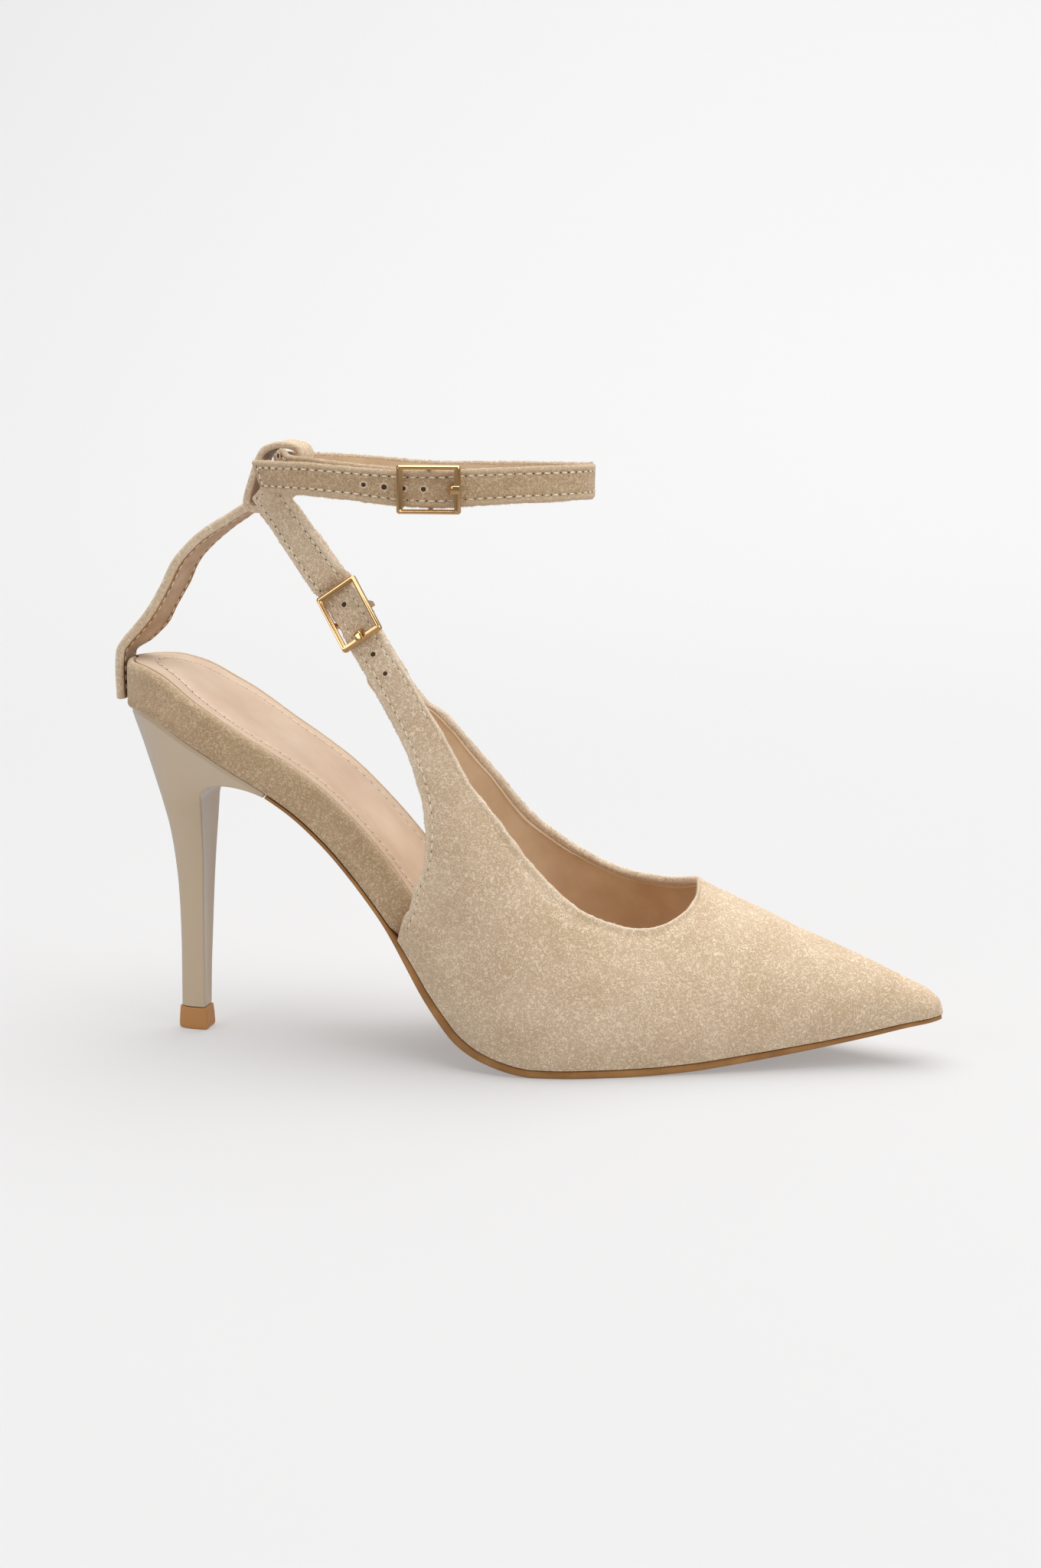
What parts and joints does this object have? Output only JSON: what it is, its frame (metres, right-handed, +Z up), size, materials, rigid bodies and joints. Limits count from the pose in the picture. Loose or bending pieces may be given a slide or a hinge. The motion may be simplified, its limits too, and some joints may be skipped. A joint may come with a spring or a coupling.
{
  "type": "stiletto heel shoe",
  "caption": "Pointed pump, open at the back, on a slim stiletto heel, with side straps and a back stay that hold a buckled ankle strap.",
  "frame": {"origin": "on the floor, at the centre of the heel tip's underside", "axes": "+X towards the toe, +Y towards the inner side of the foot, +Z up"},
  "size_m": [0.2282, 0.078, 0.1646],
  "materials": {
    "suede": "sand suede",
    "sock_leather": "smooth peach-beige lining leather",
    "sole_resin": "satin caramel sole unit",
    "lacquer": "glossy greige lacquer",
    "tip_rubber": "satin caramel",
    "gilt": "polished light gold"
  },
  "bodies": {
    "root": {"upper": "suede", "footbed": "suede", "sock": "sock_leather", "outsole": "sole_resin", "heel": "lacquer", "heel_tip": "tip_rubber", "back_stay": "suede", "ankle_strap": "suede", "buckle_strap": "suede", "ankle_buckle_frame": "gilt", "ankle_buckle_prong": "gilt", "side_buckle_frame": "gilt", "side_buckle_prong": "gilt"}
  },
  "joints": []
}
